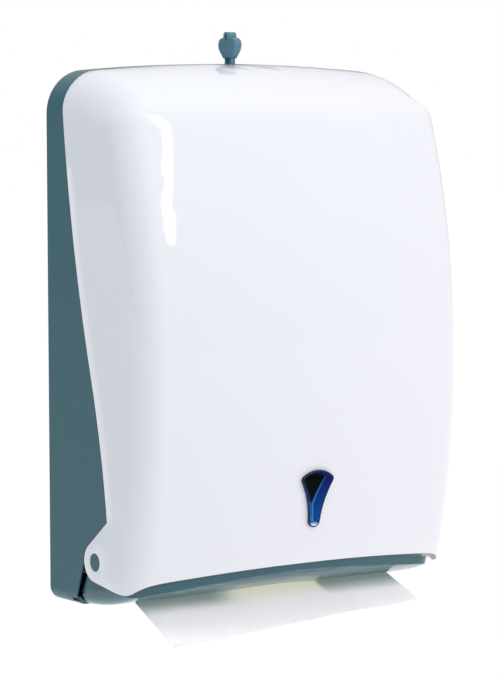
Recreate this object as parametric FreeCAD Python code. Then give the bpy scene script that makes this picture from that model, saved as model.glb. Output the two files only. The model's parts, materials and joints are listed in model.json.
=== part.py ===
"""Wall-mounted dispenser for folded paper towels.

Millimetres. X runs to the right, -Y to the front and Z up; the wall is the plane Y = 0. Heights below are measured
from the casing's bottom, and write() lowers every piece so that the origin lies at the centre of the wall screws.
"""
import FreeCAD, Part
import math
import os

V = FreeCAD.Vector

# ---- body
TOWEL_WIDTH = 228.8         # folded towels that the cabinet is made for
SIDE_ROOM = 29.1            # from the towels to the cabinet's side
WIDTH = TOWEL_WIDTH + 2 * SIDE_ROOM
HEIGHT = 393.0
CROWN_R = 1400.0            # top edge seen from the front
FRONT_R = 594.0             # front seen from the side
FRONT_PEAK = (-142.0, 172.0)  # foremost point of the front, Y and height
BOW_R = 676.0               # front seen from above
TOP_R = 134.0               # top seen from the side
TOP_FLAT = 22.0             # level stretch of the top before it curves down
TOP_CORNER_R = 32.0
FRONT_CORNER_R = 22.0
BROW_R = 30.0               # where the top turns into the front
FOOT_CORNER_R = 10.0
COVER_WALL = 3.0
CASING_WALL = 3.0
FAR = 200.0                 # reach of cutting tools past the body
LAP = 0.5                   # how far joined shapes run into each other
DEEP = 60.0                 # reach of cutting tools below the body

# ---- parting line between casing and cover, seen from the side
PARTING_TOP = (-22.0, HEIGHT - 29.0)
PARTING_BEND = (-58.5, 168.0)
PARTING_SLOPE = 0.28        # Y per unit of height at the bend
PARTING_ELBOW = (-78.8, 65.8)
PARTING_GAP = 0.5
RIM_REACH = 7.0             # tongue of the casing that backs the parting line
RIM_WALL = 2.0
RIM_FOOT = 70.0

# ---- hinge
PIN = (-62.0, 35.0)
EAR_R = 14.3
EAR_GAP = 0.7
PIN_HEAD_R = 6.5
PIN_SHANK_R = 4.0
PIN_FIT = 0.08
PIN_GROOVE_R = 3.0
CHEEK_BOSS_R = 9.0
CHEEK_BOSS_DEPTH = 7.0
CLIP_R = 7.0
CLIP_WALL = 1.0

# ---- lower edge of the cover: corners (Y, height, rounding) from the ear to the front
SKIRT = ((-99.5, 15.0, 9.0), (-112.2, 24.1, 14.0), (-124.0, 29.6, 30.0), (-160.0, 44.0, 0.0))

# ---- outlet under the cover
SLOT_TOP = (-46.5, 34.0)    # rear edge of the side slot beside the ear
SLOT_FOOT = -33.6
SLOT_WIDTH = 1.3            # at the foot; the slot widens upwards
SLOT_LIP = 1.2              # casing wall left along the slot
SLOT_BAND = 7.0             # how far back the wall is thinned
CHEEK_KNEE = (-47.2, 26.0)  # rear corner of the outlet's cheek under the ear
THROAT_GAP = 0.3
THROAT_WALL = 2.8
THROAT_SETBACK = 8.0        # lip behind the cover's front
THROAT_CORNER_R = 22.0
LIP_TOP = 31.0
LIP_RAMP = (-88.0, -76.0)   # where the rim climbs from the lip to the cheeks
UNDER_START = -30.0
UNDER_R = 185.0
UNDER_BREAK = -100.0
UNDER_LIP_R = 50.0
UNDER_EDGE_R = 12.0         # where the underside turns up into the cheeks
EXIT_FRONT = -74.0
EXIT_REAR = -62.0
EXIT_HALF = 119.0
NOTCH_HALF = 42.0
NOTCH_DEPTH = 15.0
TONGUE_HALF = 122.0
TONGUE_REAR = -12.0
TONGUE_Z = 9.0
RISER_Y = -38.0
GUSSET = 6.5
GUSSET_X = (-70.0, 0.0, 70.0)
THROAT_SCREW_X = (-105.0, -35.0, 35.0, 105.0)
THROAT_SCREW_Y = -22.0
BOSS_R = 5.0

# ---- tray and towels
TRAY_GAP = 0.3
TRAY_WALL = 2.2
TRAY_FLOOR = 24.0
TRAY_REAR = -6.0
TRAY_FLANGE_TOP = 48.0
TRAY_SCREW_X = 70.0
TRAY_SCREW_Z = 39.0
TRAY_SLOT = (-60.0, -80.0)
FENCE_TOP = 96.0
FENCE_CORNER_R = 14.0
FENCE_GAP = 2.0
FENCE_LEAN = 10.0
BOSS_ROOM = 1.5
KERB_TOP = 40.0
KERB_Y = -106.0
STACK_GAP = 0.3
STACK_REAR_GAP = 0.5
SHEET_GAP = 0.3
STACK_DEPTH = 92.0
STACK_HEIGHT = 34.0
STACK_FOLD_R = (3.0, 5.0)   # pressed at the foot, looser at the top
SHEET_THICK = 0.8
SHEET_BEND_R = 5.0
SHEET_Y = -69.0
SHEET_BEND_Z = 5.0
SHEET_END_LEFT = (-122.0, -21.5)
SHEET_END_RIGHT = (-110.0, -11.0)

# ---- wall mounting
WALL_HOLE_R = 2.75
WALL_HOLE_X = 100.0
WALL_HOLE_Z = 120.0
WALL_CENTRE = 200.0
PAD_RECESS = 1.2
PAD_RIB = 14.0
PAD_EDGE = 16.0
PAD_SPAN = (22.0, HEIGHT - 34.0)
RIB_X = (-100.0, -45.0, 45.0, 100.0)
RIB_THICK = 2.4
RIB_HEIGHT = 3.0
RIB_SPAN = (118.0, HEIGHT - 41.0)

# ---- lock
LOCK_Y = -27.0
NOTCH_X = 14.0              # keyhole notch in the cover's rear edge, half width
NOTCH_Y = -34.0
NOTCH_DEEP = 20.0           # how far down the keyhole notch is cut
FLANGE_TOP = HEIGHT - 6.4
FLANGE_THICK = 2.4
FLANGE_X = 21.0
FLANGE_REAR = -6.0
FLANGE_FRONT = -38.5
BARREL_R = 8.5
BARREL_FOOT = HEIGHT - 29.0
PLUG_R = 6.0
PLUG_FIT = 0.08
PLUG_HEAD_R = 7.6
PLUG_HEAD = 1.4
PLUG_FOOT = HEIGHT - 31.4
LOCK_SCREW_X = 15.0
LOCK_SCREW_Y = -12.0
CAM_THICK = 3.0
CAM_HUB_R = 7.0
HOOK_R = (15.0, 18.6)
HOOK_SWEEP = 70.0
WASHER_THICK = 0.6
POST_Y = (-38.0, -41.0)
POST_HALF = 2.5
POST_FOOT = HEIGHT - 37.0
CATCH_Z = HEIGHT - 19.0
CATCH_THICK = 2.4
CATCH_X = 20.0
CATCH_Y = (-46.0, -60.0)
CATCH_SCREW_X = 13.5

# ---- key
PRONG_Y = 2.5
PRONG_X = 4.0
PRONG_SPACE = 3.0
KEYWAY_FIT = 0.3
KEY_DEPTH = 11.0
BOW_FOOT = HEIGHT + 4.0
BOW_TOP = HEIGHT + 19.6
BOW_HALF = 12.0
BOW_THICK = 6.8
TAB_TOP = HEIGHT + 23.6
TAB_HALF = 3.3

# ---- window
WINDOW_Z = 78.0
WINDOW_HEIGHT = 43.0
WINDOW_TOP_HALF = 14.7
WINDOW_CROWN = 6.5          # rise of the curved top edge
WINDOW_WAIST = (6.8, 17.0)  # half width, and height over the tip, where the sides bow in
WINDOW_TIP_R = 4.9
WINDOW_PROUD = 2.2
WINDOW_BEVEL = 1.7
WINDOW_STEP = 2.0
WINDOW_FIT = 0.15
WINDOW_DEPTH = 7.0
WINDOW_SEAT = 0.45          # how far the flange follows the cover's curve
WINDOW_CLIP = 1.6
WINDOW_CLIP_WIDTH = 3.0
CLIP_GAP = 0.3

# ---- fasteners
SCREW_R = 1.75
SCREW_HEAD_R = 3.4
SCREW_TOP_R = 2.2
SCREW_HEAD = 2.0
SCREW_COLLAR = 1.1
SCREW_FIT = 0.05

half = WIDTH / 2


# ---------------------------------------------------------------- drawing helpers
def side(y, z):
    """Point in the middle plane, seen from the side."""
    return V(0, y, z)


def rounded_edges(corners, place, closed=True):
    """Edges through corners (a, b, radius), each rounded by its own radius."""
    points = [place(a, b) for a, b, _ in corners]
    n = len(corners)
    ends = []
    for i, point in enumerate(points):
        radius = corners[i][2]
        open_end = not closed and i in (0, n - 1)
        if radius == 0 or open_end:
            ends.append((point, point, None))
            continue
        back = (points[i - 1] - point).normalize()
        on = (points[(i + 1) % n] - point).normalize()
        half_angle = back.getAngle(on) / 2
        reach = radius / math.tan(half_angle)
        bisector = (back + on).normalize()
        middle = point + bisector * (radius / math.sin(half_angle) - radius)
        ends.append((point + back * reach, point + on * reach, middle))
    edges = []
    for i in range(n):
        first, last, middle = ends[i]
        if middle is not None:
            edges.append(Part.Arc(first, middle, last).toShape())
        if i < n - 1 or closed:
            target = ends[(i + 1) % n][0]
            if last.distanceToPoint(target) > 1e-6:
                edges.append(Part.LineSegment(last, target).toShape())
    return edges


def face_of(edges):
    return Part.Face(Part.Wire(edges))


def side_prism(corners, x_low, x_high):
    """Solid with the given side outline, from x_low to x_high."""
    face = face_of(rounded_edges(corners, lambda y, z: V(x_low, y, z)))
    return face.extrude(V(x_high - x_low, 0, 0))


def plan_prism(corners, z_low, z_high):
    """Solid with the given outline seen from above."""
    face = face_of(rounded_edges(corners, lambda x, y: V(x, y, z_low)))
    return face.extrude(V(0, 0, z_high - z_low))


def box(x0, x1, y0, y1, z0, z1):
    """Block between two corners, given in any order."""
    low = V(min(x0, x1), min(y0, y1), min(z0, z1))
    return Part.makeBox(abs(x1 - x0), abs(y1 - y0), abs(z1 - z0), low)


def rod(radius, start, along):
    return Part.makeCylinder(radius, along.Length, start, along)


def tangent_arc(start, direction, end):
    """Arc from start along direction to end, and its direction there."""
    chord = end - start
    normal = V(1, 0, 0).cross(direction)
    offset = chord.dot(normal)
    radius = chord.dot(chord) / (2 * offset)
    centre = start + normal * radius
    middle_way = ((start - centre) + (end - centre)).normalize()
    middle = centre + middle_way * abs(radius)
    leaving = V(1, 0, 0).cross(end - centre).normalize()
    if leaving.dot(direction) < 0:
        leaving = leaving * -1
    return Part.Arc(start, middle, end).toShape(), leaving


def tangent_point(centre, radius, outside, turn):
    """Angle, in degrees, where a line from a point outside touches a circle."""
    way = outside - centre
    bearing = math.degrees(math.atan2(way.z, way.y))
    return bearing + turn * math.degrees(math.acos(radius / way.Length))


def on_circle(centre, radius, degrees):
    angle = math.radians(degrees)
    return centre + side(radius * math.cos(angle), radius * math.sin(angle))


def circle_arc(centre, radius, first, last):
    points = [on_circle(centre, radius, a) for a in (first, (first + last) / 2, last)]
    return Part.Arc(*points).toShape()


def line(a, b):
    return Part.LineSegment(a, b).toShape()


# ---------------------------------------------------------------- body surfaces
def front_profile(inset):
    """Centre and radius of the front's side arc."""
    y, z = FRONT_PEAK
    return side(y + FRONT_R, z), FRONT_R - inset


def sag(x, radius):
    """How far an arch has fallen at x."""
    return radius - math.sqrt(radius ** 2 - x ** 2)


def profile_section(x, front_fall, top_fall, brow_r):
    """Side outline of the body at x: wall, top, brow and front."""
    centre, front_r = front_profile(front_fall)
    shoulder, top_r = side(-TOP_FLAT, HEIGHT - TOP_R), TOP_R - top_fall
    reach, to_shoulder = front_r - brow_r, top_r - brow_r
    way = shoulder - centre
    apart = way.Length
    along = (apart ** 2 + reach ** 2 - to_shoulder ** 2) / (2 * apart)
    way.normalize()
    brow = centre + way * along + V(1, 0, 0).cross(way) * -math.sqrt(reach ** 2 - along ** 2)
    on_front = brow + (brow - centre).normalize() * brow_r
    on_top = brow + (brow - shoulder).normalize() * brow_r
    brow_mid = brow + ((on_front - brow) + (on_top - brow)).normalize() * brow_r
    foot = side(centre.y - math.sqrt(front_r ** 2 - (DEEP + centre.z) ** 2), -DEEP)
    crest = shoulder + side(0, top_r)
    top_mid = shoulder + ((on_top - shoulder) + (crest - shoulder)).normalize() * top_r
    front_mid = centre + ((on_front - centre) + (foot - centre)).normalize() * front_r
    wall_top, wall_foot = side(DEEP, crest.z), side(DEEP, -DEEP)
    edges = [Part.Arc(foot, front_mid, on_front).toShape(), Part.Arc(on_front, brow_mid, on_top).toShape(),
             Part.Arc(on_top, top_mid, crest).toShape(), line(crest, wall_top), line(wall_top, wall_foot),
             line(wall_foot, foot)]
    wire = Part.Wire(edges)
    wire.translate(V(x, 0, 0))
    return wire


def block(half_width, front_inset, top_inset, brow_r, front_corner, top_corner):
    """Double-curved body lofted from side to side, its corners rounded; it runs on behind the wall and below."""
    sections = []
    for x in (-half_width, 0, half_width):
        front_fall = front_inset + sag(x, BOW_R - front_inset)
        top_fall = top_inset + sag(x, CROWN_R - top_inset)
        sections.append(profile_section(x, front_fall, top_fall, brow_r))
    ribbon = Part.makeLoft(sections, True)
    brows = []
    for x in (-half_width, half_width):
        outline = [e for e in ribbon.Edges if e.BoundBox.XLength < 0.01 and abs(e.CenterOfMass.x - x) < 0.01]
        brows.append(min(outline, key=lambda e: e.Length))
    return ribbon.makeFillet(front_corner, top_corner, brows)


def inset_body(inset):
    return block(half - inset, inset, inset, BROW_R - inset, FRONT_CORNER_R - inset, TOP_CORNER_R - inset)


def outer_body():
    return inset_body(0)


def parting_edges(gap, ear_r):
    """Edges from above the body down the parting line to the ear, and the ear's touching angle."""
    top, bend, elbow = (side(y + gap, z) for y, z in (PARTING_TOP, PARTING_BEND, PARTING_ELBOW))
    above = side(top.y, HEIGHT + DEEP)
    rise = side(PARTING_SLOPE, 1).normalize()
    upper, _ = tangent_arc(bend, rise, top)
    lower, _ = tangent_arc(bend, rise * -1, elbow)
    touch = tangent_point(side(*PIN), ear_r, elbow, -1)
    return [line(above, top), upper, lower, line(elbow, on_circle(side(*PIN), ear_r, touch))], touch


def cover_region():
    """Side outline of the cover, right across the body."""
    edges, touch = parting_edges(0, EAR_R)
    pin = side(*PIN)
    leave = tangent_point(pin, EAR_R, side(*SKIRT[0][:2]), 1)
    edges.append(circle_arc(pin, EAR_R, touch, leave))
    start = on_circle(pin, EAR_R, leave)
    skirt = [(start.y, start.z, 0)] + list(SKIRT) + [(-FAR, SKIRT[-1][1], 0)]
    edges += rounded_edges(skirt, side, closed=False)
    corner = side(-FAR, HEIGHT + DEEP)
    edges.append(line(side(-FAR, SKIRT[-1][1]), corner))
    edges.append(line(corner, side(PARTING_TOP[0], HEIGHT + DEEP)))
    return across(edges)


def casing_region():
    """Side outline of the rear casing."""
    radius = EAR_R + EAR_GAP
    edges, touch = parting_edges(PARTING_GAP, radius)
    pin = side(*PIN)
    reach = SLOT_TOP[1] - PIN[1]
    leave = math.degrees(math.asin(reach / radius))
    edges.append(circle_arc(pin, radius, touch, leave))
    foot = side(SLOT_FOOT, 0)
    edges.append(line(on_circle(pin, radius, leave), foot))
    edges.append(line(foot, side(0, 0)))
    edges.append(line(side(0, 0), side(0, HEIGHT + DEEP)))
    edges.append(line(side(0, HEIGHT + DEEP), side(PARTING_TOP[0] + PARTING_GAP, HEIGHT + DEEP)))
    return across(edges)


def across(edges):
    face = face_of(Part.__sortEdges__(edges))
    face.translate(V(-FAR, 0, 0))
    return face.extrude(V(2 * FAR, 0, 0))


def screw(head, direction, length):
    """Pan-head screw whose head's underside lies at head."""
    shank = rod(SCREW_R, head, direction * length)
    collar = rod(SCREW_HEAD_R, head, direction * -SCREW_COLLAR)
    dome = Part.makeCone(SCREW_HEAD_R, SCREW_TOP_R, SCREW_HEAD - SCREW_COLLAR, head - direction * SCREW_COLLAR,
                         direction * -1)
    return shank.fuse([collar, dome])


def hole(at, direction, length):
    return rod(SCREW_R + SCREW_FIT, at, direction * length)


# ---------------------------------------------------------------- casing
def rear_casing():
    body = outer_body()
    foot = Part.Face(Part.Wire(rounded_edges(
        [(-half, 0, FOOT_CORNER_R), (half, 0, FOOT_CORNER_R), (half, HEIGHT + DEEP, 0), (-half, HEIGHT + DEEP, 0)],
        lambda x, z: V(x, 0, z)))).extrude(V(0, -FAR, 0))
    room = inset_body(CASING_WALL).cut(box(-FAR, FAR, -CASING_WALL, FAR, -DEEP * 2, HEIGHT + DEEP))
    room_foot = Part.Face(Part.Wire(rounded_edges(
        [(-half + CASING_WALL, CASING_WALL, FOOT_CORNER_R - CASING_WALL),
         (half - CASING_WALL, CASING_WALL, FOOT_CORNER_R - CASING_WALL),
         (half - CASING_WALL, HEIGHT + DEEP, 0), (-half + CASING_WALL, HEIGHT + DEEP, 0)],
        lambda x, z: V(x, 0, z)))).extrude(V(0, -FAR, 0))
    shell = body.common(foot).common(casing_region()).cut(room.common(room_foot))
    shell = shell.fuse(casing_rim())
    for x in RIB_X:
        shell = shell.fuse(box(x - RIB_THICK / 2, x + RIB_THICK / 2, -CASING_WALL,
                               -CASING_WALL - RIB_HEIGHT, *RIB_SPAN))
    floor_bosses = [rod(BOSS_R, V(x, THROAT_SCREW_Y, CASING_WALL), V(0, 0, TONGUE_Z - CASING_WALL))
                    for x in THROAT_SCREW_X]
    tray_bosses = [rod(BOSS_R, V(x, -CASING_WALL, TRAY_SCREW_Z), V(0, TRAY_REAR + CASING_WALL, 0))
                   for x in (-TRAY_SCREW_X, TRAY_SCREW_X)]
    lock_bosses = [rod(BOSS_R, V(x, LOCK_SCREW_Y, FLANGE_TOP), V(0, 0, HEIGHT - FLANGE_TOP - CASING_WALL / 2))
                   for x in (-LOCK_SCREW_X, LOCK_SCREW_X)]
    shell = shell.multiFuse(floor_bosses + tray_bosses + lock_bosses)
    drills = [hole(V(x, THROAT_SCREW_Y, TONGUE_Z + 1), V(0, 0, -1), TONGUE_Z - 1) for x in THROAT_SCREW_X]
    drills += [hole(V(x, TRAY_REAR - 1, TRAY_SCREW_Z), V(0, 1, 0), 5.5) for x in (-TRAY_SCREW_X, TRAY_SCREW_X)]
    drills += [hole(V(x, LOCK_SCREW_Y, FLANGE_TOP - 1), V(0, 0, 1), 5) for x in (-LOCK_SCREW_X, LOCK_SCREW_X)]
    drills += [rod(WALL_HOLE_R, V(sx * WALL_HOLE_X, 1, WALL_CENTRE + sz * WALL_HOLE_Z), V(0, -CASING_WALL - 2, 0))
               for sx in (-1, 1) for sz in (-1, 1)]
    shell = shell.cut(Part.makeCompound(drills + back_fields() + slot_reliefs()))
    return shell.removeSplitter()


def slot_reliefs():
    """What thins the casing's side walls from inside, along the slots beside the ears."""
    lean = (SLOT_TOP[0] - SLOT_FOOT) / SLOT_TOP[1]
    floor, top = CASING_WALL, SLOT_TOP[1] + EAR_R
    corners = [(SLOT_FOOT + SLOT_BAND + lean * floor, floor, 0), (SLOT_FOOT + SLOT_BAND + lean * top, top, 0),
               (-FAR, top, 0), (-FAR, floor, 0)]
    inner, outer = half - CASING_WALL - 1, half - SLOT_LIP
    return [side_prism(corners, inner, outer), side_prism(corners, -outer, -inner)]


def casing_rim():
    """Thin tongue behind the cover's edge, all along the parting line above the hinge."""
    outside = inset_body(COVER_WALL + PARTING_GAP)
    inside = inset_body(COVER_WALL + PARTING_GAP + RIM_WALL)
    region = casing_region()
    reach = region.copy()
    reach.translate(V(0, -RIM_REACH, 0))
    behind = region.copy()
    behind.translate(V(0, RIM_WALL, 0))
    band = outside.cut(inside).common(reach).cut(behind)
    keep = box(-FAR, FAR, -FAR, 0, RIM_FOOT, HEIGHT)
    keep = keep.cut(box(-FLANGE_X - 1, FLANGE_X + 1, PARTING_TOP[0] + PARTING_GAP + RIM_WALL, -FAR, RIM_FOOT, HEIGHT))
    band = band.common(keep)
    web_out = inset_body(CASING_WALL - 0.5).cut(inside)
    step = region.copy()
    step.translate(V(0, RIM_WALL, 0))
    web = web_out.common(region).cut(step).common(keep)
    return band.fuse(web)


def back_fields():
    """Shallow fields in the back, between the ribs that bear on the wall."""
    columns, rows = 2, 3
    low, high = PAD_SPAN
    wide = (WIDTH - 2 * PAD_EDGE - (columns - 1) * PAD_RIB) / columns
    tall = (high - low - (rows - 1) * PAD_RIB) / rows
    fields = []
    for i in range(columns):
        for k in range(rows):
            x = -half + PAD_EDGE + i * (wide + PAD_RIB)
            z = low + k * (tall + PAD_RIB)
            fields.append(box(x, x + wide, 0.5, -PAD_RECESS, z, z + tall))
    pads = [rod(BOSS_R * 2, V(sx * WALL_HOLE_X, 1, WALL_CENTRE + sz * WALL_HOLE_Z), V(0, -3, 0))
            for sx in (-1, 1) for sz in (-1, 1)]
    pads.append(box(-BOSS_R * 2, BOSS_R * 2, 1, -2, WALL_CENTRE - BOSS_R * 2, WALL_CENTRE + BOSS_R * 2))
    return [Part.makeCompound(fields).cut(Part.makeCompound(pads))]


# ---------------------------------------------------------------- cover
def front_cover():
    shell = outer_body().cut(inset_body(COVER_WALL)).common(cover_region())
    bosses = [rod(BOSS_R, V(x, catch_screw_y(), CATCH_Z + CATCH_THICK), V(0, 0, 15))
              for x in (-CATCH_SCREW_X, CATCH_SCREW_X)]
    bosses = Part.makeCompound(bosses).common(outer_body())
    shell = shell.fuse(bosses)
    keyhole = notch_prism(HEIGHT - NOTCH_DEEP, HEIGHT + NOTCH_DEEP)
    pin_holes = [rod(PIN_HEAD_R + PIN_FIT, V(s * (half - COVER_WALL - 2), *PIN), V(s * (COVER_WALL + 4), 0, 0))
                 for s in (-1, 1)]
    drills = [hole(V(x, catch_screw_y(), CATCH_Z), V(0, 0, 1), 8.5) for x in (-CATCH_SCREW_X, CATCH_SCREW_X)]
    shell = shell.cut(Part.makeCompound([keyhole] + pin_holes + drills))
    opening = window_prism(-WINDOW_STEP + WINDOW_FIT, -COVER_WALL * 4, COVER_WALL * 2)
    return shell.cut(opening).removeSplitter()


def catch_screw_y():
    return (CATCH_Y[0] + CATCH_Y[1]) / 2


def notch_prism(low, high):
    """Half-ellipse cut into the cover's rear edge where the key goes in."""
    depth = PARTING_TOP[0] - NOTCH_Y
    ellipse = Part.Ellipse(V(0, PARTING_TOP[0], low), NOTCH_X, depth).toShape()
    return Part.Face(Part.Wire([ellipse])).extrude(V(0, 0, high - low))


def cover_catch():
    """Plate under the cover's top, with the post that the lock's hook holds."""
    plate = plan_prism([(-CATCH_X, CATCH_Y[0], 3), (-CATCH_X, CATCH_Y[1], 3), (CATCH_X, CATCH_Y[1], 3),
                        (CATCH_X, CATCH_Y[0], 3)], CATCH_Z, CATCH_Z + CATCH_THICK)
    arm = box(-POST_HALF * 2, POST_HALF * 2, POST_Y[0], CATCH_Y[0] - 2, CATCH_Z, CATCH_Z + CATCH_THICK)
    post = box(-POST_HALF, POST_HALF, *POST_Y, POST_FOOT, CATCH_Z + 1)
    gusset = side_prism([(POST_Y[1] + 0.5, CATCH_Z + 0.5, 0), (CATCH_Y[0] - 4, CATCH_Z + 0.5, 0),
                         (POST_Y[1] + 0.5, CATCH_Z - 9, 0)], -1.2, 1.2)
    body = plate.fuse([arm, post, gusset])
    for x in (-CATCH_SCREW_X, CATCH_SCREW_X):
        body = body.cut(hole(V(x, catch_screw_y(), CATCH_Z - 1), V(0, 0, 1), 5))
    return body.removeSplitter()


# ---------------------------------------------------------------- outlet
def above_underside(raise_by):
    """What lies above the underside, its edges rounded up to the cheeks, moved inwards by raise_by.

    Seen from the side the underside is an arc that turns into the lip's tighter one.
    """
    main = side(UNDER_START, UNDER_R)
    turn = math.asin((UNDER_START - UNDER_BREAK) / UNDER_R)
    down = side(-math.sin(turn), -math.cos(turn))
    lip = main + down * (UNDER_R - UNDER_LIP_R)
    reach = cheek_face() - raise_by
    drums = []
    for centre, radius in ((main, UNDER_R - raise_by), (lip, UNDER_LIP_R - raise_by)):
        drum = Part.makeCylinder(radius, 2 * reach, V(-reach, centre.y, centre.z), V(1, 0, 0))
        rims = [e for e in drum.Edges if e.BoundBox.XLength < 0.01]
        drums.append(drum.makeFillet(UNDER_EDGE_R - raise_by, rims))
    below = main + down * FAR * 2
    ahead = side_prism([(main.y, main.z, 0), (below.y, below.z, 0), (-FAR * 2, main.z, 0)], -FAR, FAR)
    return drums[0].cut(ahead).fuse(drums[1].common(ahead)).removeSplitter()


def cheek_region():
    """Side outline of the outlet, behind the cover's ears."""
    foot = SLOT_FOOT - SLOT_WIDTH
    lean = (CHEEK_KNEE[0] - foot) / CHEEK_KNEE[1]
    top = PIN[1] + EAR_R - 1
    below = -10.0
    corners = [(foot + lean * below, below, 0), (*CHEEK_KNEE, 0), (PIN[0] + EAR_R - 1, PIN[1], 8),
               (PIN[0] + EAR_R - 1, top, 10), (-FAR, top, 0), (-FAR, below, 0)]
    return side_prism(corners, -FAR, FAR)


def cheek_face():
    """Half width of the outlet, inside the cover's ears."""
    return half - COVER_WALL - THROAT_GAP


def throat_block(extra):
    inset = COVER_WALL + THROAT_GAP + extra
    corner = THROAT_CORNER_R - extra
    return block(half - inset, THROAT_SETBACK + extra, inset, BROW_R, corner, corner)


def dispensing_throat():
    top = PIN[1] + EAR_R - 1
    outside = throat_block(0).common(above_underside(0)).common(cheek_region())
    outside = outside.common(side_prism([(-FAR, -DEEP, 0), (-FAR, LIP_TOP, 0), (LIP_RAMP[0], LIP_TOP, 6),
                                         (LIP_RAMP[1], top, 6), (0, top, 0), (0, -DEEP, 0)], -FAR, FAR))
    tub = outside.cut(throat_block(THROAT_WALL).common(above_underside(THROAT_WALL)))
    tub = tub.cut(box(-TONGUE_HALF, TONGUE_HALF, 0, RISER_Y, -DEEP, HEIGHT))

    riser = box(-TONGUE_HALF, TONGUE_HALF, RISER_Y, RISER_Y - THROAT_WALL, 0.4, TONGUE_Z + THROAT_WALL)
    tongue = plan_prism([(-TONGUE_HALF, RISER_Y - 1, 0), (-TONGUE_HALF, TONGUE_REAR, 6), (TONGUE_HALF, TONGUE_REAR, 6),
                         (TONGUE_HALF, RISER_Y - 1, 0)], TONGUE_Z, TONGUE_Z + THROAT_WALL)
    corner = [(RISER_Y + LAP, TONGUE_Z + LAP, 0), (RISER_Y + GUSSET, TONGUE_Z + LAP, 0),
              (RISER_Y + LAP, TONGUE_Z - GUSSET, 0)]
    gussets = [side_prism(corner, x - RIB_THICK / 2, x + RIB_THICK / 2) for x in GUSSET_X]
    body = tub.fuse([riser, tongue] + gussets)
    for s in (-1, 1):
        face = V(s * (cheek_face() - THROAT_WALL + LAP), *PIN)
        body = body.fuse(rod(CHEEK_BOSS_R, face, V(-s * (CHEEK_BOSS_DEPTH + LAP), 0, 0)))
        body = body.cut(rod(PIN_SHANK_R + PIN_FIT, V(s * FAR, *PIN), V(-s * FAR, 0, 0)))
    body = body.cut(exit_cut())
    for x in THROAT_SCREW_X:
        body = body.cut(hole(V(x, THROAT_SCREW_Y, TONGUE_Z - 1), V(0, 0, 1), THROAT_WALL + 2))
    return body.removeSplitter()


def exit_cut():
    """Exit slot and finger notch."""
    low, high = -THROAT_WALL, TRAY_FLOOR - THROAT_WALL
    slot = box(-EXIT_HALF, EXIT_HALF, EXIT_FRONT, EXIT_REAR, low, high)
    radius = (NOTCH_HALF ** 2 + NOTCH_DEPTH ** 2) / (2 * NOTCH_DEPTH)
    notch = rod(radius, V(0, EXIT_FRONT - NOTCH_DEPTH + radius, low), V(0, 0, high - low))
    notch = notch.common(box(-FAR, FAR, EXIT_FRONT + LAP, -FAR, low, high))
    return slot.fuse(notch)


# ---------------------------------------------------------------- tray and towels
def towel_tray():
    """Floor with the exit slot, fences beside the towels, a kerb in front and a screwed flange behind."""
    shape = throat_block(THROAT_WALL + TRAY_GAP)
    kerb_front, root = KERB_Y - TRAY_WALL, TRAY_FLOOR + LAP
    floor = shape.common(box(-FAR, FAR, TRAY_REAR, kerb_front, TRAY_FLOOR, TRAY_FLOOR + TRAY_WALL))
    inner = TOWEL_WIDTH / 2 + FENCE_GAP
    outer = inner + TRAY_WALL
    fence = [(TRAY_REAR - TRAY_WALL, root, 0), (TRAY_REAR - TRAY_WALL, FENCE_TOP, FENCE_CORNER_R),
             (KERB_Y + FENCE_LEAN, FENCE_TOP, FENCE_CORNER_R * 2), (KERB_Y - LAP, root, 0)]
    walls = [side_prism(fence, -outer, -inner), side_prism(fence, inner, outer),
             box(-outer, outer, KERB_Y, kerb_front, root, KERB_TOP)]
    flange = box(-outer, outer, TRAY_REAR, TRAY_REAR - TRAY_WALL, TRAY_FLOOR, TRAY_FLANGE_TOP)
    body = floor.fuse([wall.common(shape) for wall in walls] + [flange])
    slot_half = TOWEL_WIDTH / 2 + FENCE_GAP - LAP
    cuts = [box(-slot_half, slot_half, *TRAY_SLOT, TRAY_FLOOR - 1, TRAY_FLOOR + TRAY_WALL + 1)]
    for s in (-1, 1):
        cuts.append(hole(V(s * TRAY_SCREW_X, TRAY_REAR + 1, TRAY_SCREW_Z), V(0, -1, 0), TRAY_WALL + 2))
        cuts.append(rod(CHEEK_BOSS_R + BOSS_ROOM, V(s * half, *PIN), V(s * (inner - half + TRAY_WALL), 0, 0)))
    return body.cut(Part.makeCompound(cuts)).removeSplitter()


def stack_foot():
    return TRAY_FLOOR + TRAY_WALL + STACK_GAP


def towel_stack():
    rear = TRAY_REAR - TRAY_WALL - SCREW_HEAD - STACK_REAR_GAP
    low = stack_foot()
    foot_r, head_r = STACK_FOLD_R
    corners = [(rear, low, foot_r), (rear, low + STACK_HEIGHT, head_r),
               (rear - STACK_DEPTH, low + STACK_HEIGHT, head_r), (rear - STACK_DEPTH, low, foot_r)]
    return side_prism(corners, -TOWEL_WIDTH / 2, TOWEL_WIDTH / 2)


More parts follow.
